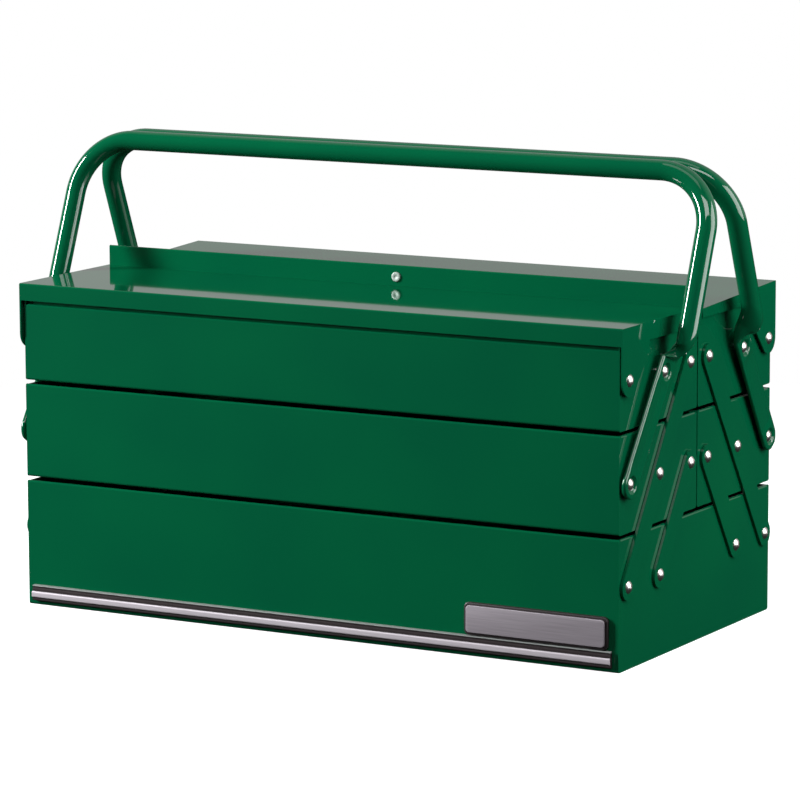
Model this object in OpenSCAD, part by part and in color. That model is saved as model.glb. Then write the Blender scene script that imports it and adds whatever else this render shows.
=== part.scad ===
// Five-tray cantilever tool box in enamelled sheet steel.
// Frame: X runs along the box, front is -Y, Z is up, origin at the centre of the underside.
// The half modules are written for the rear half (+Y) and mirrored to make the front half.

/* [Box] */
// outside length of every tray
box_len = 400; // [360:10:480]
// outside depth over the front and rear halves
box_depth = 200; // [190:2:220]
// thickness of the folded steel sheet
sheet = 1; // [0.8:0.1:1.2]
// gap left where the front and rear trays meet
centre_gap = 1.2; // [0.8:0.2:2]
// radius of the fold along the foot of each long wall
fold_r = 1.5; // [1.5:0.1:3.5]

/* [Trays] */
// height of the bottom tray
bottom_h = 76.4; // [70:0.2:100]
// height of a middle tray
middle_h = 56.6; // [52:0.2:70]
// height of a top tray up to the neck that stands inside its lid
top_h = 56.5; // [53:0.5:74]
// clear height between one tray's rim and the tray above it
tray_gap = 2.4; // [1.6:0.2:3.2]
// thickness of the folded hem round a rim
hem_t = 2.4; // [2:0.1:3]
// depth of the folded hem round a rim
hem_h = 6; // [5:0.5:8]

/* [Linkage] */
// height of the pivots above the floor of a middle or top tray
pivot_h = 28.4; // [26:0.2:34]
// setback of the bottom tray's outer pivots from the tray's long wall
outer_setback = 8.8; // [8.5:0.1:10]
// distance of the innermost pivots from the middle of the box, box closed
inner_setback = 11.2; // [10:0.1:13]
// half of what the bottom pivots' spacing exceeds the lean of a link by
pivot_lead = 0.6; // [0.4:0.1:1]
// extra outward offset of the handle's lower pivot from the bottom tray's outer pivot
handle_offset = 0.8; // [0:0.2:1.2]
// width of the long and short links
link_w = 15; // [13:0.5:16]
// thickness of the long and short links
link_t = 1.5; // [1.2:0.1:2]
// gap between a link and the tray's end wall
link_gap = 0.3; // [0.2:0.05:0.5]

/* [Rivets] */
// diameter of a rivet's shank
rivet_d = 4; // [3.6:0.1:4.4]
// diameter of a rivet's domed head
rivet_head_d = 7.2; // [6.8:0.2:9]
// height of a rivet's domed head
rivet_head_h = 1.7; // [1.4:0.1:2.2]
// height of the set tail inside the tray
rivet_tail_h = 1; // [0.8:0.1:1.4]
// running clearance round a rivet's shank
rivet_play = 0.05; // [0.03:0.01:0.08]
// end play under a rivet's head
rivet_lift = 0.1; // [0.05:0.05:0.2]

/* [Lids] */
// gap left where the two lids meet
lid_gap = 2.6; // [1.2:0.2:3]
// overhang of a lid beyond the tray at the ends
lid_over_end = 2.6; // [2.4:0.1:3]
// overhang of a lid beyond the tray along its outer side
lid_over_side = 1.6; // [1.5:0.1:2.2]
// depth of the lip that hangs round the front lid
front_lip = 10.3; // [9:0.1:11]
// depth of the lip that hangs round the rear lid
rear_lip = 6.5; // [6:0.1:9]
// gap between a lid's outer lip and the tray's rim below it
rim_gap = 2.3; // [1.8:0.1:3]
// radius of the rounded edge above the outer lip
lid_edge_r = 1; // [1:0.5:3]
// gap between a tray's neck and the closed lid above it, which the lid's swing needs
lid_rest = 1.2; // [1.1:0.1:1.8]
// extra height of the rear lid's outer edge
rear_lid_rise = 3.4; // [0:0.2:4]
// drop of the rear lid's inner edge
rear_lid_drop = 1.2; // [0:0.2:1.6]
// width of a lid's pivot ear at the lip
ear_w = 33.5; // [30:0.5:36]
// radius of a lid's pivot ear round its rivet
ear_r = 9.2; // [8:0.2:9.6]
// height of the upright flange near the front lid's inner edge
flange_h = 12.4; // [11:0.2:16]
// thickness of the folded flange
flange_t = 2; // [1.6:0.1:2.4]
// distance of the flange's front face from the centre plane
flange_y = 5; // [4.8:0.1:7]
// distance of the flange's ends from the lid's end plates
flange_inset = 0.6; // [0.4:0.2:4]
// length of the latch plate behind the flange
latch_len = 26; // [20:1:40]
// height of the latch plate behind the flange
latch_h = 9; // [7:0.5:9.5]
// diameter of the flat head of the hollow rivet through the flange
flange_rivet_d = 6.6; // [5:0.2:7.4]
// distance of the flange's rivet to the right of the box's middle
flange_rivet_x = 3.2; // [0:0.2:6]
// height of the flange's rivet above the lid
flange_rivet_up = 5.4; // [5.2:0.1:7]

/* [Handles] */
// diameter of the handle tube
tube_d = 12; // [10:0.5:13]
// width of the handle's flattened ends
strap_w = 17; // [15:0.5:18]
// thickness of the handle's flattened ends
strap_t = 3; // [2.6:0.1:3.4]
// distance of the strap from the end wall at its lower end
strap_off_low = 1.4; // [1.2:0.1:2]
// distance of the strap from the end wall at its upper rivet
strap_off_high = 3.2; // [3.2:0.1:3.6]
// depth of strap metal left under a rivet's head in its dimple
dimple_floor = 1.4; // [1.2:0.1:1.8]
// radius of the dimple round a rivet
dimple_r = 5; // [4.7:0.1:5.4]
// distance from the end wall to the tube's axis beside the lids
leg_off = 14.6; // [13.5:0.1:18]
// distance from the end wall to the tube's axis where the flattening starts
crank_off = 9.8; // [9.4:0.1:11]
// distance along the strap from its upper rivet to the start of the tube
crank_run = 16; // [14:0.5:18]
// distance along the strap from its upper rivet to the end of the flat on the outer side
flat_run = 7; // [6.5:0.5:8]
// skew of the flattening crease across the strap
crease_skew = 9; // [4:0.5:10]
// height of the handle bars' axis above the box top, at the lids' upper face
bar_rise = 78.6; // [70:0.2:100]
// distance of each bar's axis from the centre plane
bar_y = 8; // [7:0.1:10]
// radius of the bends at the ends of a bar, on the tube's axis
bend_r = 34.6; // [28:0.2:45]
// lean of the handle's legs from upright
leg_lean = 21.8; // [18:0.2:24]
// length of a leg from the bar's axis to its foot
leg_len = 90; // [84:0.5:100]

/* [Trim] */
// height of the black strip along the foot of the front
strip_h = 9.6; // [6:0.2:12]
// thickness of the black strip
strip_t = 2.6; // [1.2:0.1:4]
// height of the strip's lower edge above the floor
strip_z = 3; // [2.8:0.1:6]
// margin between the strip and the ends of the tray
strip_margin = 4; // [3:0.5:10]
// height of the silver band on the strip
band_h = 3.8; // [2:0.2:5]
// distance of the band's lower edge from the strip's
band_rise = 2; // [0.5:0.1:3]
// thickness of the silver band
band_t = 0.9; // [0.3:0.1:1.2]
// length of the blank plate at the front's right end
plate_len = 92; // [60:2:110]
// height of the blank plate
plate_h = 19; // [14:0.5:24]
// thickness of the blank plate
plate_t = 3.2; // [0.8:0.1:4]
// distance of the blank plate from the tray's right end
plate_margin = 6; // [5:0.5:20]
// gap between the strip and the blank plate
plate_gap = 0.4; // [0.4:0.2:4]

/* [Hidden] */

$fn = 64;
over = 1; // overrun of a cutting solid past the face that it opens
hull_fn = 32;
bend_swell = 0.3; // how much the tube thickens where it is cranked
blend_inset = 0.2; // how far the pressed blend stays inside the strap and tube that it joins
half_turn = 180;
right_angle = 90;

green = [0.0, 0.36, 0.22];
bright = [0.78, 0.78, 0.76];
black = [0.05, 0.05, 0.05];
silver = [0.72, 0.72, 0.7];
pewter = [0.5, 0.5, 0.48];

front = -1;
rear = 1;
left = -1;
right = 1;

end_x = box_len / 2;
side_y = box_depth / 2;
inner_y = centre_gap / 2;
lid_inner_y = lid_gap / 2;

// floor and rim heights of the trays
middle_z = bottom_h + tray_gap;
middle_rim_z = middle_z + middle_h;
top_z = middle_rim_z + tray_gap;
neck_z = top_z + top_h;
lid_z = neck_z + lid_rest + sheet; // upper face of a level lid
function lip_z(side) = lid_z - (side == front ? front_lip : rear_lip);
function top_rim_z(side) = lip_z(side) - rim_gap;

// pivots: each link climbs one tray pitch and leans link_run towards the centre, box closed,
// so that the pivots of a half fill the room between its two setbacks
pivot_room = side_y - outer_setback - inner_setback;
link_run = pivot_room / 2 - pivot_lead;
pivot_spacing = pivot_room / 2 + pivot_lead;
link_rise = middle_h + tray_gap;
middle_pivot_z = middle_z + pivot_h;
top_pivot_z = middle_pivot_z + link_rise;
bottom_pivot_z = middle_pivot_z - link_rise;
long_bottom_y = side_y - outer_setback;
long_middle_y = long_bottom_y - link_run;
long_top_y = long_middle_y - link_run;
short_bottom_y = long_bottom_y - pivot_spacing;
short_middle_y = short_bottom_y - link_run;
handle_low_y = long_bottom_y + handle_offset;
handle_high_y = handle_low_y - link_run;
lid_pivot_y = side_y + lid_over_side - ear_r;
link_len = sqrt(link_run * link_run + link_rise * link_rise);
link_angle = atan2(link_rise, -link_run);

// X positions where the folded bodies end, and of what is stacked on an end panel
body_end = end_x - sheet;
link_x = end_x + link_gap;
lid_end_x = end_x + lid_over_end;
lid_body_end = lid_end_x - sheet;
leg_x = end_x + leg_off;
hole_r = rivet_d / 2 + rivet_play;
strap_slope = (strap_off_high - strap_off_low) / link_len;
strap_r = strap_w / 2;

// draws its children for the rear half, or mirrored for the front half
module on_side(side) {
    if (side == front) mirror([0, 1, 0]) children();
    else children();
}

// draws its children, made for the right end, at one end or at both
module at_end(side) {
    if (side == left) mirror([1, 0, 0]) children();
    else children();
}
module at_both_ends() {
    at_end(left) children();
    at_end(right) children();
}

// extrudes a (Y, Z) outline along X from x0
module along_x(x0, length) {
    translate([x0, 0, 0]) rotate([right_angle, 0, right_angle]) linear_extrude(length) children();
}

// a hole or shank along X
module pin_x(r, x0, length, y, z) {
    translate([x0, y, z]) rotate([0, right_angle, 0]) cylinder(r = r, h = length);
}

// cross-section of a tray with its lower corners folded to a radius
module folded_outline(y0, y1, z0, z1, r) {
    translate([y0 + r, z0]) square([y1 - y0 - 2 * r, z1 - z0]);
    translate([y0, z0 + r]) square([y1 - y0, z1 - z0 - r]);
    translate([y0 + r, z0 + r]) circle(r);
    translate([y1 - r, z0 + r]) circle(r);
}

// cross-section of a folded hem: u runs across the wall, its top is at z1
module hem_outline(u0, z1) {
    translate([u0, z1 - hem_h]) square([hem_t, hem_h - hem_t / 2]);
    translate([u0 + hem_t / 2, z1 - hem_t / 2]) circle(hem_t / 2);
}

// cross-section of a tray's folded sheet, open at the top
module shell_outline(y0, y1, z0, z1) {
    difference() {
        folded_outline(y0, y1, z0, z1, fold_r);
        folded_outline(y0 + sheet, y1 - sheet, z0 + sheet, z1 + over, fold_r - sheet);
    }
}

// a tray's body, folded from one sheet and hemmed along both long walls up to a rim at z1
module folded_body(y0, y1, z0, z1) {
    along_x(-body_end, 2 * body_end) shell_outline(y0, y1, z0, z1 - hem_t / 2);
    along_x(-end_x, box_len) {
        hem_outline(y0, z1);
        hem_outline(y1 - hem_t, z1);
    }
}

// rivet holes in a right end panel at a list of [y, z] pivots
module pivot_holes(pivots) {
    for (p = pivots) pin_x(hole_r, end_x - hem_t - over, hem_t + 2 * over, p[0], p[1]);
}

// the flat panel that closes a folded body's right end, its own hem between the body's hems
module end_panel(y0, y1, z0, z1, pivots) {
    difference() {
        union() {
            along_x(body_end, sheet) difference() {
                folded_outline(y0, y1, z0, z1 - hem_t / 2, fold_r);
                translate([y0 - over, z1 - hem_h]) square([hem_t + over, hem_h]);
                translate([y1 - hem_t, z1 - hem_h]) square([hem_t + over, hem_h]);
            }
            translate([0, y1 - hem_t, 0]) rotate([right_angle, 0, 0])
                linear_extrude(y1 - y0 - 2 * hem_t) hem_outline(end_x - hem_t, z1);
        }
        pivot_holes(pivots);
    }
}

bottom_pivots = [[long_bottom_y, bottom_pivot_z], [short_bottom_y, bottom_pivot_z],
    [-long_bottom_y, bottom_pivot_z], [-short_bottom_y, bottom_pivot_z]];
middle_pivots = [[handle_low_y, middle_pivot_z], [long_middle_y, middle_pivot_z],
    [short_middle_y, middle_pivot_z]];
top_pivots = [[lid_pivot_y, top_pivot_z], [handle_high_y, top_pivot_z], [long_top_y, top_pivot_z]];

module bottom_tray() color(green) folded_body(-side_y, side_y, 0, bottom_h);

module bottom_end(end) color(green) at_end(end)
    end_panel(-side_y, side_y, 0, bottom_h, bottom_pivots);

module middle_tray(side) color(green) on_side(side)
    folded_body(inner_y, side_y, middle_z, middle_rim_z);

module middle_end(side, end) color(green) on_side(side) at_end(end)
    end_panel(inner_y, side_y, middle_z, middle_rim_z, middle_pivots);

// height of the walls and the neck that stand inside a lid
function neck_top(side) = neck_z - (side == rear ? rear_lid_drop : 0);

// a top tray's body: its outer wall ends in a hem, and a neck inside it carries the lid
module top_tray(side) color(green) on_side(side) along_x(-body_end, 2 * body_end) {
    neck_h = neck_top(side) - top_rim_z(side);
    difference() {
        shell_outline(inner_y, side_y, top_z, neck_top(side));
        translate([side_y - hem_t, top_rim_z(side) - hem_t / 2]) square([hem_t + over, neck_h + hem_t]);
    }
    hem_outline(side_y - hem_t, top_rim_z(side));
    translate([side_y - hem_t - sheet, top_rim_z(side) - hem_h]) square([sheet, neck_h + hem_h]);
}

module top_end(side, end) color(green) on_side(side) at_end(end) difference() {
    along_x(body_end, sheet) folded_outline(inner_y, side_y, top_z, neck_top(side), fold_r);
    pivot_holes(top_pivots);
}

// a domed rivet along X: its head sits on seat_x, its tail inside the end wall
module rivet(seat_x, y, z) {
    dome_r = (rivet_head_d * rivet_head_d / 4 + rivet_head_h * rivet_head_h) / (2 * rivet_head_h);
    tail_x = end_x - sheet - rivet_lift - rivet_tail_h;
    pin_x(rivet_d / 2, tail_x, seat_x - tail_x + rivet_head_h / 2, y, z);
    pin_x(rivet_head_d / 2 - rivet_lift, tail_x, rivet_tail_h, y, z);
    intersection() {
        translate([seat_x + rivet_head_h - dome_r, y, z]) rotate([0, right_angle, 0]) sphere(dome_r);
        pin_x(rivet_head_d / 2, seat_x, rivet_head_h, y, z);
    }
}

link_seat_x = link_x + link_t + rivet_lift;
ear_seat_x = lid_end_x + rivet_lift;
strap_low_seat_x = end_x + strap_off_low + dimple_floor + rivet_lift;
strap_high_seat_x = end_x + strap_off_high + dimple_floor + rivet_lift;

module rivets_bottom() color(bright) at_both_ends()
    for (p = bottom_pivots) rivet(link_seat_x, p[0], p[1]);

module rivets_middle(side) color(bright) on_side(side) at_both_ends() {
    rivet(strap_low_seat_x, handle_low_y, middle_pivot_z);
    rivet(link_seat_x, long_middle_y, middle_pivot_z);
    rivet(link_seat_x, short_middle_y, middle_pivot_z);
}

module rivets_top(side) color(bright) on_side(side) at_both_ends() {
    rivet(ear_seat_x, lid_pivot_y, top_pivot_z);
    rivet(strap_high_seat_x, handle_high_y, top_pivot_z);
    rivet(link_seat_x, long_top_y, top_pivot_z);
}

// a flat link with round ends: spans is how many trays it climbs, with a hole at each
module link(side, end, foot_y, spans) color(green) on_side(side) at_end(end)
    translate([0, foot_y, bottom_pivot_z]) rotate([link_angle, 0, 0]) difference() {
        along_x(link_x, link_t) {
            circle(link_w / 2);
            translate([0, -link_w / 2]) square([spans * link_len, link_w]);
            translate([spans * link_len, 0]) circle(link_w / 2);
        }
        for (i = [0 : spans]) pin_x(hole_r, link_x - over, link_t + 2 * over, i * link_len, 0);
    }

// outline across the box of a lid from y0 to y1: it ends at z_low, its upper face at z_in and z_out
module lid_outline(y0, y1, z_in, z_out, z_low, r) {
    difference() {
        polygon([[y0, z_low], [y1, z_low], [y1, z_out], [y0, z_in]]);
        translate([y1 - r, z_out - r]) square(r + over);
    }
    intersection() {
        translate([y1 - r, z_out - r]) circle(r);
        polygon([[y0, z_low], [y1, z_low], [y1, z_out], [y0, z_in]]);
    }
}

lip_y = side_y + lid_over_side;
function lid_inner_z(side) = lid_z - (side == rear ? rear_lid_drop : 0);
function lid_outer_z(side) = lid_z + (side == rear ? rear_lid_rise : 0);

// outline of the pivot ear that hangs from the plate at a lid's end
module ear_outline() {
    inner_edge_y = lip_y - ear_w;
    shoulder_z = top_pivot_z + ear_r * 1.4;
    translate([lid_pivot_y, top_pivot_z]) circle(ear_r);
    polygon([[lip_y, top_pivot_z], [lip_y, lid_z - lid_edge_r], [inner_edge_y, lid_z - lid_edge_r],
        [inner_edge_y, shoulder_z],
        [lid_pivot_y - ear_r * cos(right_angle / 2), top_pivot_z - ear_r * sin(right_angle / 2)]]);
}

// a lid's upper face and outer lip, folded from one sheet
module lid_body(side) along_x(-lid_body_end, 2 * lid_body_end) difference() {
    lid_outline(lid_inner_y, lip_y, lid_inner_z(side), lid_outer_z(side), lip_z(side), lid_edge_r);
    lid_outline(-over, lip_y - sheet, lid_inner_z(side) - sheet, lid_outer_z(side) - sheet,
        lip_z(side) - over, lid_edge_r - sheet / 2);
}

// the flat plate at a lid's end: its lip and the ear that turns on the tray
module lid_end(side, end) color(green) on_side(side) at_end(end) difference() {
    along_x(lid_body_end, sheet) {
        lid_outline(lid_inner_y, lip_y, lid_inner_z(side), lid_outer_z(side), lip_z(side), lid_edge_r);
        ear_outline();
    }
    pin_x(hole_r, lid_body_end - over, sheet + 2 * over, lid_pivot_y, top_pivot_z);
}

flange_len = 2 * (lid_body_end - flange_inset);
flange_rivet_z = lid_z + flange_rivet_up;

module lid_front() color(green) on_side(front) difference() {
    union() {
        lid_body(front);
        along_x(-flange_len / 2, flange_len) {
            translate([flange_y - flange_t, lid_z - sheet / 2])
                square([flange_t, flange_h - flange_t / 2 + sheet / 2]);
            translate([flange_y - flange_t / 2, lid_z + flange_h - flange_t / 2]) circle(flange_t / 2);
        }
    }
    flange_hole();
}

module lid_rear() color(green) on_side(rear) lid_body(rear);

// hole along Y for the rivet that holds the latch plate to the flange
flange_shank_r = flange_rivet_d / 2 - 1;
module flange_hole() {
    translate([flange_rivet_x, 0, flange_rivet_z]) rotate([-right_angle, 0, 0])
        cylinder(r = flange_shank_r + rivet_play, h = flange_y + over);
}

latch_y = flange_y - flange_t - rivet_lift - sheet;
module latch_plate() color(green) on_side(front) difference() {
    translate([flange_rivet_x - latch_len / 2, latch_y, flange_rivet_z - latch_h / 2])
        cube([latch_len, sheet, latch_h]);
    flange_hole();
}

// a hollow rivet: its flat head stands on the flange, its tail behind the latch plate
module flange_rivet() color(bright) on_side(front) translate([flange_rivet_x, 0, flange_rivet_z])
    rotate([-right_angle, 0, 0]) {
        head_h = rivet_head_h / 2;
        head_y = flange_y + rivet_lift;
        tail_y = latch_y - rivet_lift - sheet;
        difference() {
            union() {
                translate([0, 0, tail_y]) cylinder(r = flange_shank_r, h = head_y - tail_y + head_h / 2);
                translate([0, 0, tail_y]) cylinder(r = flange_rivet_d / 2, h = sheet);
                translate([0, 0, head_y]) cylinder(r = flange_rivet_d / 2, h = head_h);
            }
            translate([0, 0, head_y]) cylinder(r = flange_shank_r / 2, h = head_h + over);
        }
    }

// a straight length of tube between two points, with a ball at each that carries it round the bend
module tube_between(a, b) {
    step = b - a;
    length = norm(step);
    translate(a) rotate([0, acos(step[2] / length), atan2(step[1], step[0])])
        cylinder(d = tube_d, h = length);
    for (p = [a, b]) translate(p) sphere(d = tube_d + bend_swell);
}

// distance of the strap's inner face from the middle of the box, s along it from the lower rivet
function strap_x(s) = end_x + strap_off_low + strap_slope * s;

// the strap's thickness between two distances along it, thinned on each side by inset
module strap_side(s0, s1, inset = 0) {
    linear_extrude(strap_w, center = true)
        polygon([[strap_x(s0) + inset, s0], [strap_x(s0) + strap_t - inset, s0],
            [strap_x(s1) + strap_t - inset, s1], [strap_x(s1) + inset, s1]]);
}

// the flattened end of the handle tube, along +Y from its lower rivet, made for the right end
module strap() {
    flat_len = link_len + flat_run;
    strap_zone = strap_off_high + strap_t + over;
    difference() {
        union() {
            intersection() {
                strap_side(-strap_r, flat_len);
                along_x(end_x, strap_zone) {
                    circle(strap_r);
                    translate([0, -strap_r]) square([flat_len, strap_w]);
                }
            }
            for (s = [0, link_len])
                pin_x(dimple_r + sheet, link_x, strap_x(s) + strap_t / 2 - link_x, s, 0);
        }
        for (s = [0, link_len]) {
            floor_x = end_x + (s == 0 ? strap_off_low : strap_off_high) + dimple_floor;
            pin_x(hole_r, end_x, strap_zone + over, s, 0);
            pin_x(dimple_r, floor_x, strap_zone, s, 0);
        }
    }
}

// where the round tube begins, and where the leg's straight stretch ends
crank_s = link_len + crank_run;
crank_point = [end_x + crank_off, handle_low_y + crank_s * cos(link_angle),
    middle_pivot_z + crank_s * sin(link_angle)];
bar_z = lid_z + bar_rise;
leg_foot = [leg_x, bar_y + leg_len * sin(leg_lean), bar_z - leg_len * cos(leg_lean)];

// the pressed blend from the flat strap to the round tube
module flattening() {
    flat_end = link_len + flat_run;
    edge = strap_r - blend_inset;
    hull() {
        translate([0, handle_low_y, middle_pivot_z]) rotate([link_angle, 0, 0]) intersection() {
            strap_side(flat_end - over, flat_end + crease_skew, blend_inset);
            along_x(end_x, leg_off) polygon([[flat_end - over, -edge], [flat_end, -edge],
                [flat_end + crease_skew, edge], [flat_end - over, edge]]);
        }
        translate(crank_point) sphere(d = tube_d - 2 * blend_inset, $fn = hull_fn);
    }
}

module handle(side) color(green) on_side(side) {
    at_both_ends() {
        translate([0, handle_low_y, middle_pivot_z]) rotate([link_angle, 0, 0]) strap();
        flattening();
        tube_between(leg_foot, crank_point);
    }
    translate([0, bar_y, bar_z]) rotate([leg_lean, 0, 0]) {
        pin_x(tube_d / 2, bend_r - leg_x, 2 * (leg_x - bend_r), 0, 0);
        at_both_ends() {
            translate([leg_x - bend_r, 0, -bend_r]) rotate([right_angle, 0, 0])
                rotate_extrude(angle = right_angle) translate([bend_r, 0]) circle(d = tube_d);
            translate([leg_x, 0, -leg_len]) cylinder(d = tube_d, h = leg_len - bend_r);
        }
    }
}

strip_len = box_len - 2 * strip_margin;
module trim_strip() color(black)
    translate([-strip_len / 2, -side_y - strip_t, strip_z]) cube([strip_len, strip_t, strip_h]);

module trim_band() color(silver)
    translate([-strip_len / 2, -side_y - strip_t - band_t, strip_z + band_rise])
        cube([strip_len, band_t, band_h]);

module name_plate() color(pewter)
    translate([end_x - plate_margin - plate_len, -side_y - plate_t, strip_z + strip_h + plate_gap])
        cube([plate_len, plate_t, plate_h]);

bottom_tray();
bottom_end(left);  // bottom_end_left
bottom_end(right);  // bottom_end_right
trim_strip();
trim_band();
name_plate();
rivets_bottom();
middle_tray(front);  // middle_tray_front
middle_end(front, left);  // middle_end_front_left
middle_end(front, right);  // middle_end_front_right
middle_tray(rear);  // middle_tray_rear
middle_end(rear, left);  // middle_end_rear_left
middle_end(rear, right);  // middle_end_rear_right
rivets_middle(front);  // rivets_middle_front
rivets_middle(rear);  // rivets_middle_rear
top_tray(front);  // top_tray_front
top_end(front, left);  // top_end_front_left
top_end(front, right);  // top_end_front_right
top_tray(rear);  // top_tray_rear
top_end(rear, left);  // top_end_rear_left
top_end(rear, right);  // top_end_rear_right
rivets_top(front);  // rivets_top_front
rivets_top(rear);  // rivets_top_rear
lid_front();
lid_end(front, left);  // lid_end_front_left
lid_end(front, right);  // lid_end_front_right
lid_rear();
lid_end(rear, left);  // lid_end_rear_left
lid_end(rear, right);  // lid_end_rear_right
latch_plate();
flange_rivet();
link(front, left, long_bottom_y, 2);  // long_link_front_left
link(front, right, long_bottom_y, 2);  // long_link_front_right
link(rear, left, long_bottom_y, 2);  // long_link_rear_left
link(rear, right, long_bottom_y, 2);  // long_link_rear_right
link(front, left, short_bottom_y, 1);  // short_link_front_left
link(front, right, short_bottom_y, 1);  // short_link_front_right
link(rear, left, short_bottom_y, 1);  // short_link_rear_left
link(rear, right, short_bottom_y, 1);  // short_link_rear_right
handle(front);  // handle_front
handle(rear);  // handle_rear
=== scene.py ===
# %% [markdown]
# # A cantilever tool box, dressed for its picture
# The box is five sheet steel trays on riveted links, sprayed green and stoved. The CAD model
# already holds every tray, link, lid and rivet at its real size, so this script gives them
# their finishes, remakes the few forms that need softer shapes than CAD gives them,
# and sets up the light and the camera.

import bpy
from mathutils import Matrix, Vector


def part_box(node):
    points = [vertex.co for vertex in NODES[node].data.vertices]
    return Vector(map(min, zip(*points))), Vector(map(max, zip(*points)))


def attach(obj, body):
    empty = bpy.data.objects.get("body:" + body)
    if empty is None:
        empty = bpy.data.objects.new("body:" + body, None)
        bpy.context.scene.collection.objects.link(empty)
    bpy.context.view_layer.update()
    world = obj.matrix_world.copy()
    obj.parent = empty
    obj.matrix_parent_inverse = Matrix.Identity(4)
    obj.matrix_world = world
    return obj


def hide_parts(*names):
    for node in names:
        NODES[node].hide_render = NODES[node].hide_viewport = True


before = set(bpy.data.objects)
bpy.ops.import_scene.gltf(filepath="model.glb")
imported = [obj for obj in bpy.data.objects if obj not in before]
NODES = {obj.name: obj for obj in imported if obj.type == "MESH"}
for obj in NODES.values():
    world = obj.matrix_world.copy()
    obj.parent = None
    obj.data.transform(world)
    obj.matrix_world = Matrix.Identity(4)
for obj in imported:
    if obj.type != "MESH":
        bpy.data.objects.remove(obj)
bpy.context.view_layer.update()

import math

import bmesh
import bpy
from mathutils import Matrix, Vector

MM = 0.001
scene = bpy.context.scene

# %% [markdown]
# ## Camera
# The picture was taken with a long lens from the front right, a little above the lids. The
# angles, the distance and the focal length were worked out from the corners of the box, so
# that the straight edges of the model fall on the edges in the picture. A camera looks down
# its own -Z axis, so its matrix is made of three directions: right, up, and back from the box.

# %% Camera
AZIMUTH, ELEVATION, ROLL = 0.515691, 0.161468, -0.003451
DISTANCE = 2.606832
AIM = Vector((0.002615, 0, 0.126668))
FOCAL_PIXELS, FRAME_PIXELS, SENSOR = 4342.03, 800, 36

level = math.cos(ELEVATION)
back = Vector((math.sin(AZIMUTH) * level, -math.cos(AZIMUTH) * level, math.sin(ELEVATION)))
right = Vector((math.cos(AZIMUTH), math.sin(AZIMUTH), 0))
up = back.cross(right)
turn = Matrix((right, up, back)).transposed() @ Matrix.Rotation(ROLL, 3, "Z")

camera_data = bpy.data.cameras.new("camera")
camera_data.sensor_width = SENSOR
camera_data.lens = FOCAL_PIXELS * SENSOR / FRAME_PIXELS
camera = bpy.data.objects.new("camera", camera_data)
camera.matrix_world = Matrix.Translation(AIM + back * DISTANCE) @ turn.to_4x4()
scene.collection.objects.link(camera)
scene.camera = camera
print("lens in mm", round(camera_data.lens, 1), "at", [round(v, 3) for v in camera.location])

# %% [markdown]
# ## Materials
# A material is a small network of nodes. Two helpers keep the networks short: one turns the
# sRGB hex code of a colour into the linear numbers that a shader needs, and the other adds a
# node, sets its sockets and joins its links. Some sockets share a name, so they are given by
# their number: 0, 6 and 7 are the factor and the two colours of a colour Mix, 1 to 4 are the
# two ranges of a Map Range, and 0, 1 and 2 are the factor and the two shaders of a Mix Shader.

# %% Colour and node helpers
def linear(code):
    """Turns an sRGB hex code such as "#00583a" into linear red, green, blue and alpha."""
    parts = [int(code[i:i + 2], 16) / 255 for i in (1, 3, 5)]
    return [c / 12.92 if c <= 0.04045 else ((c + 0.055) / 1.055) ** 2.4 for c in parts] + [1]


def add(tree, kind, settings=None, **sockets):
    """Adds a node. A socket is given a number, a colour, or another node's output."""
    node = tree.nodes.new("ShaderNode" + kind)
    for name, value in (settings or {}).items():
        setattr(node, name, value)
    for name, value in sockets.items():
        key = int(name[1:]) if name[0] == "_" else name.replace("_", " ")
        if isinstance(value, bpy.types.NodeSocket):
            tree.links.new(value, node.inputs[key])
        else:
            node.inputs[key].default_value = value
    return node


def new_material(name):
    """Returns an empty material and the tree that it is built in."""
    material = bpy.data.materials.new(name)
    material.use_nodes = True
    material.node_tree.nodes.clear()
    return material, material.node_tree


def finish_material(tree, shader):
    """Joins a shader to the material's output."""
    add(tree, "OutputMaterial", Surface=shader.outputs[0])


print("green in linear light", [round(c, 4) for c in linear("#00583a")])

# %% [markdown]
# ### Green stoving enamel
# The sheet is sprayed with gloss paint and baked. The eye gets an even deep green with a clear
# mirror on top, and the spray leaves faint soft waves, the orange peel, a few millimetres
# across. Noise on Object coordinates makes both the waves and a slight drift of the colour.
# The waves only bend the mirror, so a weak bump is enough and the sheet itself stays flat.

# %% Green stoving enamel
ORANGE_PEEL, PEEL_DEPTH, COLOUR_DRIFT = 2.5 * MM, 0.02 * MM, 90 * MM


def green_stoving_enamel():
    material, tree = new_material("green_stoving_enamel")
    place = add(tree, "TexCoord").outputs["Object"]
    drift = add(tree, "TexNoise", Vector=place, Scale=1 / COLOUR_DRIFT, Detail=2)
    colour = add(tree, "Mix", {"data_type": "RGBA"}, _0=drift.outputs["Fac"],
                 _6=linear("#014a31"), _7=linear("#025834"))
    peel = add(tree, "TexNoise", Vector=place, Scale=1 / ORANGE_PEEL, Detail=1)
    bump = add(tree, "Bump", Strength=0.06, Distance=PEEL_DEPTH, Height=peel.outputs["Fac"])
    gloss = add(tree, "MapRange", _0=drift.outputs["Fac"], _3=0.035, _4=0.06)
    shader = add(tree, "BsdfPrincipled", Base_Color=colour.outputs[2],
                 Roughness=gloss.outputs[0], IOR=1.5, Normal=bump.outputs[0])
    finish_material(tree, shader)
    return material


enamel = green_stoving_enamel()
print("orange peel of", ORANGE_PEEL / MM, "mm")

# %% [markdown]
# ### Bright plated rivets
# The rivets are steel with a bright plating, set after painting. They are metal, so their
# colour is the colour of their mirror, and fine tumbling marks blur it a little. The hollow
# rivet in the flange is only dipped in zinc, so it stays dull and grey. The real marks are
# finer than the picture can show, so both patterns are drawn about as wide as one of its dots.

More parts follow.
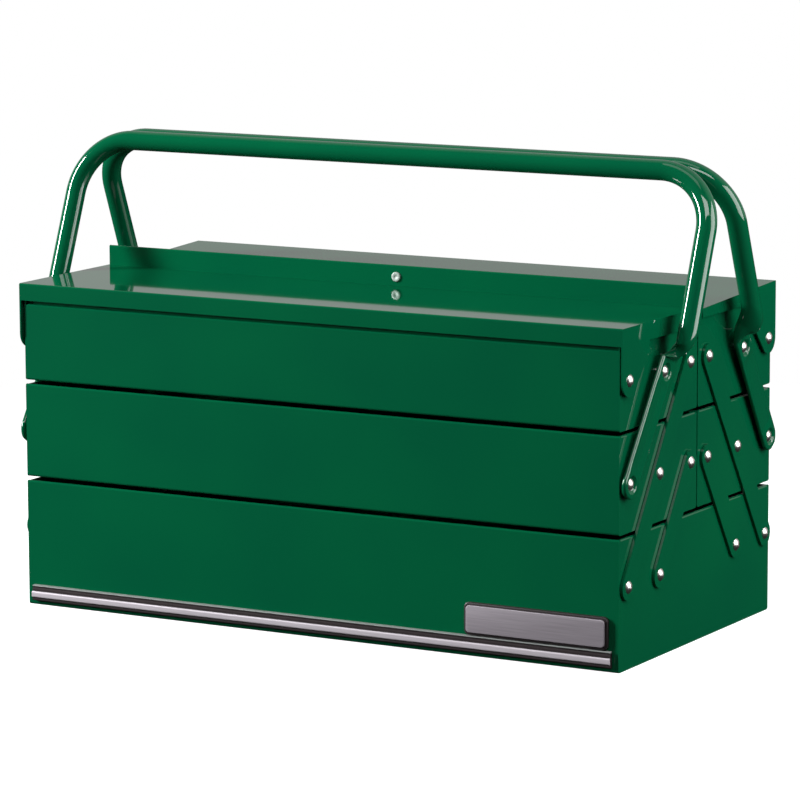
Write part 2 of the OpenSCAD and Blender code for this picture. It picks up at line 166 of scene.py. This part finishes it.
# %% Bright and dull rivets
TUMBLING_MARKS, ZINC_GRAIN = 0.8 * MM, 0.6 * MM


def bright_plated_steel():
    material, tree = new_material("bright_plated_steel")
    place = add(tree, "TexCoord").outputs["Object"]
    marks = add(tree, "TexNoise", Vector=place, Scale=1 / TUMBLING_MARKS, Detail=3)
    rough = add(tree, "MapRange", _0=marks.outputs["Fac"], _3=0.22, _4=0.36)
    shader = add(tree, "BsdfPrincipled", Base_Color=linear("#e2dcd8"), Metallic=1,
                 Roughness=rough.outputs[0])
    finish_material(tree, shader)
    return material


def dull_zinc():
    material, tree = new_material("dull_zinc")
    place = add(tree, "TexCoord").outputs["Object"]
    marks = add(tree, "TexNoise", Vector=place, Scale=1 / ZINC_GRAIN, Detail=3)
    colour = add(tree, "Mix", {"data_type": "RGBA"}, _0=marks.outputs["Fac"],
                 _6=linear("#8a9791"), _7=linear("#aab4ae"))
    shader = add(tree, "BsdfPrincipled", Base_Color=colour.outputs[2], Metallic=0.6,
                 Roughness=0.6)
    finish_material(tree, shader)
    return material


plated, zinc = bright_plated_steel(), dull_zinc()
print("rivet finishes", plated.name, zinc.name)

# %% [markdown]
# ### Black moulding and satin silver
# The moulding along the foot of the front is black extruded plastic with a band of satin
# silver foil let into it. The plate above has the same foil on its face, only darker. Foil on
# plastic is less of a mirror than solid metal, so it is metallic in part. Its brushing runs
# along the box: the noise is stretched along X, and drawn coarser than real brushing to show.

# %% Black moulding and satin silver
PLASTIC_GRAIN, GRAIN_DEPTH, BRUSHING, BRUSHING_DEPTH = 0.7 * MM, 0.03 * MM, 0.6 * MM, 0.02 * MM
BRUSHING_STRETCH = (0.02, 1, 1)


def black_extruded_plastic():
    material, tree = new_material("black_extruded_plastic")
    place = add(tree, "TexCoord").outputs["Object"]
    grain = add(tree, "TexNoise", Vector=place, Scale=1 / PLASTIC_GRAIN, Detail=2)
    bump = add(tree, "Bump", Strength=0.15, Distance=GRAIN_DEPTH, Height=grain.outputs["Fac"])
    shader = add(tree, "BsdfPrincipled", Base_Color=linear("#241d1f"), Roughness=0.4, IOR=1.5,
                 Normal=bump.outputs[0])
    finish_material(tree, shader)
    return material


def satin_silver_foil(name, low, high):
    material, tree = new_material(name)
    place = add(tree, "TexCoord").outputs["Object"]
    stretched = add(tree, "Mapping", Vector=place, Scale=BRUSHING_STRETCH)
    lines = add(tree, "TexNoise", Vector=stretched.outputs[0], Scale=1 / BRUSHING, Detail=3)
    colour = add(tree, "Mix", {"data_type": "RGBA"}, _0=lines.outputs["Fac"],
                 _6=linear(low), _7=linear(high))
    bump = add(tree, "Bump", Strength=0.2, Distance=BRUSHING_DEPTH, Height=lines.outputs["Fac"])
    shader = add(tree, "BsdfPrincipled", Base_Color=colour.outputs[2], Metallic=0.3,
                 Roughness=0.5, Normal=bump.outputs[0])
    finish_material(tree, shader)
    return material


black_plastic = black_extruded_plastic()
band_foil = satin_silver_foil("satin_silver_foil", "#a39da4", "#c2bcc3")
plate_foil = satin_silver_foil("brushed_silver_plate", "#7f7880", "#a09aa1")
# The grey foil on the lip along the moulding's top is a painted highlight: its light colour stands
# for the light line on that edge.
painted_highlight_finish = satin_silver_foil("painted_highlight_grey", "#767b79", "#8f9492")
print("dark finishes", black_plastic.name, band_foil.name, plate_foil.name, painted_highlight_finish.name)

# %% [markdown]
# ## Dress the CAD parts
# Each CAD node already sits in its place, so it only needs its finish: bright plating on the
# rivets and enamel on everything else. A cut and sprayed edge is never sharp, and on the links
# and the lids' end plates it catches a thin line of light. A Bevel modifier rounds those edges
# and leaves the mesh of the node as it is. Its angle limit keeps it to the sharp edges.

# %% Dress the CAD parts
EASED = (("long_link", 0.5, 3), ("short_link", 0.5, 3), ("lid_end", 0.35, 2))
SHARP_EDGE = math.radians(40)


def dress(obj, material):
    obj.data.materials.clear()
    obj.data.materials.append(material)


for name, obj in NODES.items():
    dress(obj, plated if name.startswith("rivets") else enamel)
    for start, width, segments in EASED:
        if name.startswith(start):
            bevel = obj.modifiers.new("eased_edges", "BEVEL")
            bevel.width, bevel.segments, bevel.angle_limit = width * MM, segments, SHARP_EDGE
print("eased", sum(len(obj.modifiers) for obj in NODES.values()), "of", len(NODES), "nodes")

# %% [markdown]
# ## Handles
# Each handle is one steel tube. It is bent twice at the top, its ends are pressed flat into
# straps, and a round dimple is pressed round each rivet, so that the head lies below the face.
# The pressing is why the tube is remade here: between the flat strap and the round leg the
# section changes at every millimetre. A curve with a bevel keeps one section along its
# length, so the tube is a chain of rings instead. Each ring starts as a circle, is pressed
# to the outline that the tube has there, and is bridged to the ring before.

# %% Sizes of a handle, in millimetres
TUBE_R, BEND_R, LEG_X, LEAN = 6, 34.6, 214.6, math.radians(21.8)
BAR = Vector((0, 8, 275.1))
STRAP_HALF_W, STRAP_HALF_T = 8.5, 1.5
LOW_RIVET, HIGH_RIVET = Vector((202.9, 92.0, 107.2)), Vector((204.7, 52.6, 166.2))
CREASE_UP, CRANK_HEIGHT = 9.5, 26.0

x_axis = Vector((1, 0, 0))
leg_way = Vector((0, -math.sin(LEAN), math.cos(LEAN)))
strap_way = (HIGH_RIVET - LOW_RIVET).normalized()
strap_len = (HIGH_RIVET - LOW_RIVET).length
crease_at = strap_len + CREASE_UP
crease = LOW_RIVET + strap_way * crease_at
bar_end = Vector((LEG_X, BAR.y, BAR.z))
foot = bar_end - leg_way * ((BAR.z - crease.z - CRANK_HEIGHT) / leg_way.z)
print("rivets of a strap lie", round(strap_len, 2), "mm apart")

# %% [markdown]
# The outline of a tube that is pressed between two flat plates is two half circles joined by
# two straight lines. Its points are laid out by their distance along it, so a point keeps its
# place on the sheet while the tube goes flat, as on the real one.
#
# The plates don't stand square to the tube, so the crease where the leg steps out runs
# askew across it. One edge of a ring is slid back down the strap to give that slant. A pressed
# strap also sinks a little between its edges, and that hollow is the valley.

# %% One outline and one ring
RING_POINTS = 64


def pressed_outline(half_w, half_t):
    """Points round a tube pressed to this half width and half thickness, from its edge on."""
    flat, arc = half_w - half_t, math.pi * half_t / 2
    points = []
    for i in range(RING_POINTS):
        quarter, step = divmod(4 * i / RING_POINTS, 1)
        if quarter % 2:
            step = 1 - step
        run = step * (flat + arc)
        if run <= arc:
            u, v = flat + half_t * math.cos(run / half_t), half_t * math.sin(run / half_t)
        else:
            u, v = flat - (run - arc), half_t
        points.append((u if quarter in (0, 3) else -u, v if quarter in (0, 1) else -v))
    return points


def add_ring(shape, middle, way, out, half_w, half_t, valley=0, skew=0):
    """A ring of the tube. way runs along the tube and out is the side that the plate pressed.
    valley is the depth of the hollow in that side, and skew slides one edge back down."""
    out = (out - way * out.dot(way)).normalized()
    side = way.cross(out)
    down = Vector((0, way.y, way.z)).normalized()
    ring = bmesh.ops.create_circle(shape, segments=RING_POINTS, radius=1)["verts"]
    for vert, (u, v) in zip(ring, pressed_outline(half_w, half_t)):
        across = u / half_w
        lean = (1 + across) / 2
        if v > 0:
            v -= valley * (1 - across ** 2)
        else:
            lean = min(1, 2 * lean)
        vert.co = middle + side * u + out * v - down * skew * lean
    return ring


def loop_edges(ring):
    """The edges that join the points of a ring, in order."""
    return [edge for point, after in zip(ring, ring[1:] + ring[:1])
            for edge in point.link_edges if edge.other_vert(point) is after]


print("outline of the strap has", len(pressed_outline(STRAP_HALF_W, STRAP_HALF_T)), "points")

# %% [markdown]
# The strap has a round end, where the rings grow from nearly nothing to its full width. The
# dimples come later, so the rings stand close together near a rivet and far apart elsewhere.
# The hollow fades out towards both rivets, and the slant grows over the last few millimetres.

# %% Rings of the strap
VALLEY, CREASE_SKEW, SKEW_REACH = 0.65, 3.0, 8.0
DIMPLE_R, DIMPLE_DEPTH, DIMPLE_WALL = 5.2, 1.6, 1.3
END_ANGLES, FINE_STEP, COARSE_STEP = range(3, 90, 6), 0.6, 1.5


def smooth(t):
    """Eases a number from 0 to 1, level at both ends."""
    return t * t * (3 - 2 * t)


def strap_ring(s):
    """Place and half sizes on the strap, s mm above its lower rivet."""
    tip = s + STRAP_HALF_W
    valley = VALLEY * smooth(min(1, max(0, min(s, strap_len - s) / DIMPLE_R - 1)))
    skew = CREASE_SKEW * smooth(max(0, 1 - (crease_at - s) / SKEW_REACH))
    half_w, half_t = STRAP_HALF_W, STRAP_HALF_T
    if s < 0:
        half_w = math.sqrt(STRAP_HALF_W ** 2 - s ** 2)
    if tip < STRAP_HALF_T:
        half_t = math.sqrt(STRAP_HALF_T ** 2 - (STRAP_HALF_T - tip) ** 2)
    return LOW_RIVET + strap_way * s, strap_way, x_axis, half_w, half_t, valley, skew


def strap_rings():
    """Rings from the round end of the strap up to just below the crease."""
    rings = [strap_ring(-STRAP_HALF_W * math.cos(math.radians(a))) for a in END_ANGLES]
    s = 0.0
    while s < crease_at - 1:
        rings.append(strap_ring(s))
        s += FINE_STEP if min(s, abs(s - strap_len)) < DIMPLE_R + 1 else COARSE_STEP
    return rings


print("rings in a strap", len(strap_rings()))

# %% [markdown]
# The crank is where the flat strap steps out and becomes a round leg. Its middle line is a
# Hermite curve, which is set by its two ends and the way that it leaves each of them. Seen
# from the front it leaves the strap at once, as a pressed crease does, and joins the leg
# smoothly. The tube opens as fast as it steps out, so its inner side runs straight on.

# %% Rings of the crank and the leg
BEND_SKEW, SKEW_END = 21.5, 40.0
CRANK_RINGS, LEG_RINGS, CRANK_NUDGE = 36, 12, 0.01


def crank(t):
    """Place on the crank, from the crease at 0 to the foot of the leg at 1."""
    reach = (foot - crease).length
    place = ((2 * t ** 3 - 3 * t ** 2 + 1) * crease + (t ** 3 - 2 * t ** 2 + t) * reach * strap_way
             + (3 * t ** 2 - 2 * t ** 3) * foot + (t ** 3 - t ** 2) * reach * leg_way)
    place.x = crease.x + (LEG_X - crease.x) * t * (1 + t - t ** 2)
    return place


def crank_rings():
    """Rings that open from the strap's section to the round tube."""
    rings = []
    for i in range(CRANK_RINGS + 1):
        t = i / CRANK_RINGS
        middle = crank(t)
        way = (crank(t + CRANK_NUDGE) - crank(t - CRANK_NUDGE)).normalized()
        half_t = min(TUBE_R, STRAP_HALF_T + middle.x - crease.x)
        opened = (half_t - STRAP_HALF_T) / (TUBE_R - STRAP_HALF_T)
        half_w = STRAP_HALF_W + (TUBE_R - STRAP_HALF_W) * opened
        skew = CREASE_SKEW + (BEND_SKEW - CREASE_SKEW) * t
        rings.append((middle, way, x_axis, half_w, half_t, 0, skew))
    return rings


def leg_rings():
    """Round rings up the leg, over which the slant fades out."""
    return [(foot + leg_way * SKEW_END * i / LEG_RINGS, leg_way, x_axis, TUBE_R, TUBE_R,
             0, BEND_SKEW * (1 - i / LEG_RINGS)) for i in range(1, LEG_RINGS + 1)]


print("the crank steps out", round(LEG_X - crease.x, 1), "mm over", round(foot.z - crease.z, 1))

# %% [markdown]
# The bend is a quarter circle from the leg to the bar, and one last ring stands in the middle
# of the bar, where the other half of the handle meets it.

# %% Middle line of half a handle
BEND_STEPS = 24


def bend_rings():
    """Rings round the bend and in the middle of the bar."""
    centre = Vector((LEG_X - BEND_R, BAR.y, BAR.z)) - leg_way * BEND_R
    rings = []
    for i in range(BEND_STEPS + 1):
        a = math.radians(90 * i / BEND_STEPS)
        out = x_axis * math.cos(a) + leg_way * math.sin(a)
        along = leg_way * math.cos(a) - x_axis * math.sin(a)
        rings.append((centre + out * BEND_R, along, out, TUBE_R, TUBE_R))
    return rings + [(BAR, -x_axis, leg_way, TUBE_R, TUBE_R)]


half_handle = strap_rings() + crank_rings() + leg_rings() + bend_rings()
print("rings in half a handle", len(half_handle))

# %% [markdown]
# The dimple is a press mark, so it is made after the tube: every point of the outer face that
# lies near a rivet is pushed in, fully under the head and less up the wall. The other half is a
# mirror image, and the front handle is the rear one seen in a mirror. A mirror turns a shape
# inside out, so its normals are recalculated at the end.

# %% Press the dimples and make both handles
def press_dimples(shape):
    for centre in (LOW_RIVET, HIGH_RIVET):
        for vert in shape.verts:
            away = vert.co - centre
            r = math.hypot(away.y, away.z)
            if away.x > 0 and r < DIMPLE_R:
                vert.co.x -= DIMPLE_DEPTH * smooth(min(1, (DIMPLE_R - r) / DIMPLE_WALL))


def new_piece(name, shape, material, body, slot, *replaced, sharp=40):
    """Turns a bmesh in millimetres into a piece that rides on a body and stands for CAD nodes.
    Edges that turn by more than sharp degrees are drawn sharp, the others smooth."""
    bmesh.ops.scale(shape, vec=(MM, MM, MM), verts=shape.verts)
    mesh = bpy.data.meshes.new(name)
    shape.to_mesh(mesh)
    shape.free()
    mesh.shade_smooth()
    mesh.set_sharp_from_angle(angle=math.radians(sharp))
    obj = bpy.data.objects.new(name, mesh)
    scene.collection.objects.link(obj)
    dress(obj, material)
    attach(obj, body)
    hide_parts(*replaced)
    return obj


def make_handle(side):
    shape = bmesh.new()
    before = None
    for ring in half_handle:
        new = add_ring(shape, *ring)
        if before:
            bmesh.ops.bridge_loops(shape, edges=loop_edges(before) + loop_edges(new))
        else:
            bmesh.ops.contextual_create(shape, geom=new)
        before = new
    press_dimples(shape)
    whole = shape.verts[:] + shape.edges[:] + shape.faces[:]
    bmesh.ops.mirror(shape, geom=whole, axis="X", merge_dist=0.001)
    if side == "front":
        bmesh.ops.scale(shape, vec=(1, -1, 1), verts=shape.verts)
    bmesh.ops.recalc_face_normals(shape, faces=shape.faces)
    open_edges = sum(not e.is_manifold for e in shape.edges)
    piece = new_piece("tube_handle_" + side, shape, enamel, "grip_" + side, "green_enamel",
                      "handle_" + side)
    print(piece.name, len(piece.data.polygons), "faces,", open_edges, "open edges")


for side in ("front", "rear"):
    make_handle(side)

# %% [markdown]
# ## Moulding and band
# The moulding is one section carried along the foot of the front: a black body with a groove, a
# thin grey lip along its top, whose light colour is a painted highlight along that edge, and a
# convex silver band let into it. A section that runs straight is drawn once, as a flat outline,
# and extruded from end to end. Its place and size are read from the CAD nodes that it stands for.

# %% A solid from a flat outline
def corners(node):
    """Lower and upper corner of a CAD node, in millimetres."""
    return [Vector(corner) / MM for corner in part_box(node)]


def prism(points, way):
    """A solid between a flat outline and its copy moved along way."""
    shape = bmesh.new()
    outline = [shape.verts.new(p) for p in points]
    face = bmesh.ops.contextual_create(shape, geom=outline)["faces"]
    moved = bmesh.ops.extrude_face_region(shape, geom=face, use_keep_orig=True)["geom"]
    far_end = [g for g in moved if isinstance(g, bmesh.types.BMVert)]
    bmesh.ops.translate(shape, vec=way, verts=far_end)
    bmesh.ops.recalc_face_normals(shape, faces=shape.faces)
    return shape


low, high = corners("trim_strip")
print("moulding in mm", [round(v, 1) for v in high - low])

# %% Moulding, lip and band, in millimetres
LIP_H, GROOVE_H, GROOVE_D, FOOT_EASE = 1.1, 1.3, 0.6, 0.5
BULGE_STEPS, LIP_POWER, BAND_POWER = 10, 2, 6


def bulged_bar(low, high, power):
    """A bar along X with a flat back and a bulged front. A higher power makes it squarer."""
    middle_z, half, depth = (low.z + high.z) / 2, (high.z - low.z) / 2, high.y - low.y
    ways = [k / BULGE_STEPS for k in range(-BULGE_STEPS, BULGE_STEPS + 1)]
    section = [(low.x, high.y - depth * math.sqrt(1 - abs(k) ** power), middle_z + half * k)
               for k in ways]
    return prism(section, (high.x - low.x, 0, 0))


lip_z = high.z - LIP_H
section = [(high.y, low.z), (high.y, lip_z), (low.y + GROOVE_D, lip_z),
           (low.y + GROOVE_D, lip_z - GROOVE_H + FOOT_EASE), (low.y, lip_z - GROOVE_H),
           (low.y, low.z + FOOT_EASE), (low.y + FOOT_EASE, low.z)]
moulding = prism([(low.x, y, z) for y, z in section], (high.x - low.x, 0, 0))
new_piece("black_moulding", moulding, black_plastic, "box_body", "black_strip", "trim_strip")
# The lip is the moulding's top edge in light grey foil, a painted highlight of the light line
# along it.
lip = bulged_bar(Vector((low.x, low.y, lip_z)), high, LIP_POWER)
new_piece("moulding_top_painted_highlight", lip, painted_highlight_finish, "box_body", "silver_band", "trim_strip", sharp=50)
band = bulged_bar(*corners("trim_band"), BAND_POWER)
new_piece("convex_band", band, band_foil, "box_body", "silver_band", "trim_band", sharp=50)
print("lip from", round(lip_z, 1), "to", round(high.z, 1), "mm above the floor")

# %% [markdown]
# ## Blank plate
# The plate is a black moulded block with rounded corners and a raised brushed face, which is
# plain. Both are flat outlines made into solids, and a bevel rounds only the edges of the side
# that looks forward, since the back lies against the tray.

# %% Blank plate, in millimetres
PLATE_EDGE, FACE_EDGE, PLATE_FACE, PLATE_MARGIN = 0.7, 0.35, 0.9, 1.6
PLATE_CORNER, FACE_CORNER = 3.0, 2.2


def rounded_rectangle(x0, x1, z0, z1, radius, steps=6):
    """Points of a rectangle with rounded corners, in order."""
    points = []
    for cx, cz, start in ((x1 - radius, z1 - radius, 0), (x0 + radius, z1 - radius, 90),
                          (x0 + radius, z0 + radius, 180), (x1 - radius, z0 + radius, 270)):
        for i in range(steps + 1):
            a = math.radians(start + 90 * i / steps)
            points.append((cx + radius * math.cos(a), cz + radius * math.sin(a)))
    return points


def plate_layer(low, high, margin, corner, back, depth, edge):
    """A plate between low and high, less a margin, with the edges of its front rounded."""
    outline = rounded_rectangle(low.x + margin, high.x - margin,
                                low.z + margin, high.z - margin, corner)
    shape = prism([(x, back, z) for x, z in outline], (0, -depth, 0))
    front = min(v.co.y for v in shape.verts)
    edges = [e for e in shape.edges if all(abs(v.co.y - front) < 0.001 for v in e.verts)]
    bmesh.ops.bevel(shape, geom=edges, offset=edge, segments=4, profile=0.5, affect="EDGES",
                    material=-1)
    return shape


low, high = corners("name_plate")
thick = high.y - low.y
block = plate_layer(low, high, 0, PLATE_CORNER, high.y, thick - PLATE_FACE, PLATE_EDGE)
new_piece("plate_block", block, black_plastic, "box_body", "black_strip", "name_plate")
face = plate_layer(low, high, PLATE_MARGIN, FACE_CORNER, high.y - thick / 2, thick / 2, FACE_EDGE)
new_piece("plate_face", face, plate_foil, "box_body", "blank_plate", "name_plate")
print("plate in mm", [round(v, 1) for v in high - low])

# %% [markdown]
# ## Hollow rivet of the flange
# A hollow rivet has a thin flat head with a small hollow in the middle, and its tail is rolled
# over behind the latch plate. It is turned work, so its section is drawn once, as distances
# from the axis and from the front, and spun round the axis.

# %% Hollow rivet of the flange, in millimetres
HEAD_R, HEAD_H, HEAD_EDGE, HEAD_EASE = 2.95, 0.8, 0.35, 0.1
HOLLOW_R, HOLLOW_FLOOR_R, HOLLOW_D, HOLLOW_LIP = 1.0, 0.7, 0.25, 0.05
SHANK_R, TAIL_R, TAIL_H, TAIL_EASE, TURN_STEPS = 1.6, 2.3, 0.6, 0.15, 48

low, high = corners("flange_rivet")
tail = high.y - low.y
axis = Vector(((low.x + high.x) / 2, low.y, (low.z + high.z) / 2))
section = [(0, HOLLOW_D), (HOLLOW_FLOOR_R, HOLLOW_D), (HOLLOW_R, HOLLOW_LIP),
           (HEAD_R - HEAD_EDGE, 0), (HEAD_R - HEAD_EASE, HEAD_EASE), (HEAD_R, HEAD_EDGE),
           (HEAD_R, HEAD_H), (SHANK_R, HEAD_H), (SHANK_R, tail - TAIL_H),
           (TAIL_R, tail - TAIL_H), (TAIL_R, tail - TAIL_EASE), (TAIL_R - TAIL_EASE, tail),
           (0, tail)]
shape = bmesh.new()
line = [shape.verts.new(axis + Vector((r, y, 0))) for r, y in section]
edges = [shape.edges.new(pair) for pair in zip(line, line[1:])]
bmesh.ops.spin(shape, geom=line + edges, cent=axis, axis=(0, 1, 0), angle=2 * math.pi,
               steps=TURN_STEPS, use_merge=True)
bmesh.ops.remove_doubles(shape, verts=shape.verts, dist=0.001)
bmesh.ops.recalc_face_normals(shape, faces=shape.faces)
print("rivet open edges", sum(not e.is_manifold for e in shape.edges))
new_piece("hollow_rivet", shape, zinc, "cover_front", "bright_rivet", "flange_rivet", sharp=50)

# %% [markdown]
# ## Floor
# The studio is a white sweep. The camera sees the floor as white paper that also glows a
# little, so it keeps the soft shadow near the box and fades to pure white further out. Every
# other ray meets a dark cloth, so that the green sides don't mirror a white floor.

# %% Floor
FLOOR_HALF, PAPER_GLOW, FADE_FROM, FADE_TO = 6, 0.55, 0.35, 0.9

floor_mesh = bpy.data.meshes.new("studio_floor")
shape = bmesh.new()
bmesh.ops.create_grid(shape, x_segments=1, y_segments=1, size=FLOOR_HALF)
shape.to_mesh(floor_mesh)
shape.free()
floor = bpy.data.objects.new("studio_floor", floor_mesh)
scene.collection.objects.link(floor)

floor_material, tree = new_material("white_studio_floor")
seen = add(tree, "LightPath").outputs["Is Camera Ray"]
cloth = add(tree, "BsdfDiffuse", Color=linear("#1c1c1c"))
paper = add(tree, "BsdfDiffuse", Color=linear("#e0e0e0"))
glow = add(tree, "Emission", Color=(1, 1, 1, 1), Strength=PAPER_GLOW)
near = add(tree, "AddShader", _0=paper.outputs[0], _1=glow.outputs[0])
far = add(tree, "Emission", Color=(1, 1, 1, 1), Strength=1)
place = add(tree, "TexCoord").outputs["Object"]
reach = add(tree, "VectorMath", {"operation": "LENGTH"}, _0=place)
fade = add(tree, "MapRange", _0=reach.outputs["Value"], _1=FADE_FROM, _2=FADE_TO)
sweep = add(tree, "MixShader", Fac=fade.outputs[0], _1=near.outputs[0], _2=far.outputs[0])
mixed = add(tree, "MixShader", Fac=seen, _1=cloth.outputs[0], _2=sweep.outputs[0])
finish_material(tree, mixed)
dress(floor, floor_material)
print("floor", floor.name)

# %% [markdown]
# ## World
# The camera sees white. A mirror sees a room that is dark in front and brightens towards the
# back, which gives the lids their pale sheen and leaves the front deep green. All other light
# from the sky is weak, so that the lamps decide the shades.

# %% World
BACK_FROM, BACK_TO, FRONT_GLOW, BACK_GLOW, SKY_LIGHT = -0.1, 0.5, 0.02, 0.48, 0.1

world = bpy.data.worlds.new("studio")
world.use_nodes = True
scene.world = world
tree = world.node_tree
tree.nodes.clear()
path = add(tree, "LightPath")
towards = add(tree, "SeparateXYZ", Vector=add(tree, "TexCoord").outputs["Generated"])
behind = add(tree, "MapRange", _0=towards.outputs["Y"], _1=BACK_FROM, _2=BACK_TO,
             _3=FRONT_GLOW, _4=BACK_GLOW)
soft = add(tree, "Background", Color=linear("#ffffff"), Strength=SKY_LIGHT)
room = add(tree, "Background", Color=linear("#fff6fa"), Strength=behind.outputs[0])
white = add(tree, "Background", Color=(1, 1, 1, 1), Strength=1)
in_gloss = add(tree, "MixShader", Fac=path.outputs["Is Glossy Ray"], _1=soft.outputs[0],
               _2=room.outputs[0])
seen = add(tree, "MixShader", Fac=path.outputs["Is Camera Ray"], _1=in_gloss.outputs[0],
           _2=white.outputs[0])
add(tree, "OutputWorld", Surface=seen.outputs[0])
print("world", world.name)

# %% [markdown]
# ## Lamps
# A strip light stands at the front left, where it draws the sharp line down the tubes. A soft
# box at the right lights the end, a weak one overhead lifts the lids, and a wide one high in
# front draws the thin light lines along the folds and the links. Each is an area lamp that
# looks at the middle of the box, so it is set by its direction, distance, size and power.

# %% Lamps
LAMPS = (("key_left", (-0.82, -0.48, 0.34), 2.4, (0.34, 1.1), 116),
         ("box_right", (0.93, 0.2, 0.3), 1.1, (0.7, 0.8), 12.5),
         ("box_above", (0, -0.15, 1), 2.2, (1.4, 0.8), 5),
         ("box_front", (0.38, -0.5, 0.75), 2.2, (1.5, 0.55), 20))

for name, towards, distance, size, power in LAMPS:
    lamp = bpy.data.lights.new(name, "AREA")
    lamp.shape = "RECTANGLE"
    lamp.size, lamp.size_y = size
    lamp.energy = power
    obj = bpy.data.objects.new(name, lamp)
    direction = Vector(towards).normalized()
    obj.location = AIM + direction * distance
    obj.rotation_euler = direction.to_track_quat("Z", "Y").to_euler()
    scene.collection.objects.link(obj)
scene.view_settings.view_transform = "Standard"
